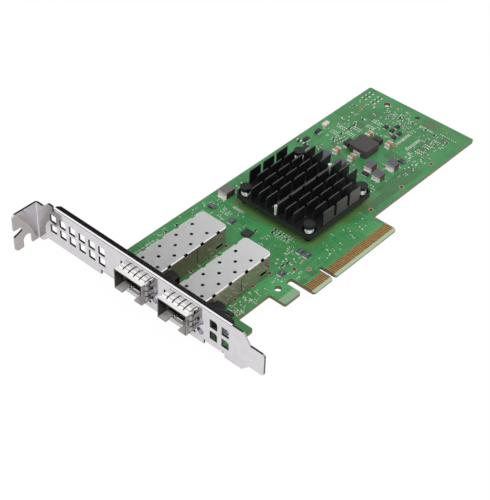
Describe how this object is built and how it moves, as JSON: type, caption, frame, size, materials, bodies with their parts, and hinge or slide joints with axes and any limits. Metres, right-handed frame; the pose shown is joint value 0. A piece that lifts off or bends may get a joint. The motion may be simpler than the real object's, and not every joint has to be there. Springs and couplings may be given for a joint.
{
  "type": "network interface card",
  "caption": "Low-profile network card: green board with an edge connector, full-height steel bracket, pluggable-module ports and a pinned finned heatsink.",
  "frame": {"origin": "middle of the key notch, at the contact edge, on the board's component side", "axes": "+X along the card, away from the bracket; +Y from the contact edge up to the bracket's bent tab; +Z out of the component side"},
  "size_m": [0.1809, 0.12, 0.0215],
  "materials": {
    "solder_mask": "semi-gloss green solder mask over glass-epoxy board",
    "gold": "thin gold plating",
    "nickel_sheet": "satin nickel-plated sheet steel",
    "screw_steel": "satin zinc plating",
    "cage_steel": "satin nickel-plated sheet",
    "spring_steel": "bright spring sheet",
    "black_plastic": "matt moulded",
    "clear_plastic": "clear moulded light pipe",
    "black_anodised": "satin black anodised",
    "bright_wire": "bright wire",
    "thermal_pad": "soft matt pad",
    "substrate": "matt laminate",
    "lid_metal": "satin nickel",
    "ferrite": "matt sintered ferrite",
    "grey_ferrite": "matt sintered ferrite",
    "tin": "satin tinned metal",
    "tan_ceramic": "satin sintered ceramic",
    "resistor_body": "dark glaze",
    "chip_plastic": "matt moulded",
    "crystal_ceramic": "satin ceramic with a metal lid"
  },
  "bodies": {
    "root": {"bracket": "nickel_sheet", "bracket_screws": "screw_steel", "ceramic_capacitor_bodies": "tan_ceramic", "ceramic_capacitor_ends": "tin", "chip_leads": "tin", "chip_resistor_bodies": "resistor_body", "chip_resistor_ends": "tin", "clock_chip": "chip_plastic", "controller_lid": "lid_metal", "controller_substrate": "substrate", "crystal": "crystal_ceramic", "edge_contacts_bottom": "gold", "edge_contacts_top": "gold", "ferrite_bead_bodies": "grey_ferrite", "ferrite_bead_ends": "tin", "heatsink": "black_anodised", "heatsink_posts": "bright_wire", "inductor_terminals": "tin", "main_inductor": "ferrite", "pcb": "solder_mask", "port_1_cage": "cage_steel", "port_1_cage_floor": "cage_steel", "port_1_connector": "black_plastic", "port_1_contacts": "gold", "port_1_emi_spring": "spring_steel", "port_1_light_pipe_holder": "black_plastic", "port_1_light_pipes": "clear_plastic", "port_2_cage": "cage_steel", "port_2_cage_floor": "cage_steel", "port_2_connector": "black_plastic", "port_2_contacts": "gold", "port_2_emi_spring": "spring_steel", "port_2_light_pipe_holder": "black_plastic", "port_2_light_pipes": "clear_plastic", "power_chips": "chip_plastic", "power_resistor_bodies": "resistor_body", "power_resistor_ends": "tin", "push_pin_springs": "bright_wire", "push_pins": "black_plastic", "signal_diode_bodies": "chip_plastic", "signal_diode_ends": "tin", "small_chips": "chip_plastic", "square_inductor_bodies": "grey_ferrite", "square_inductor_ends": "tin", "thermal_pad": "thermal_pad", "top_inductor_bodies": "ferrite", "top_inductor_ends": "tin", "under_capacitors": "tan_ceramic"}
  },
  "joints": []
}
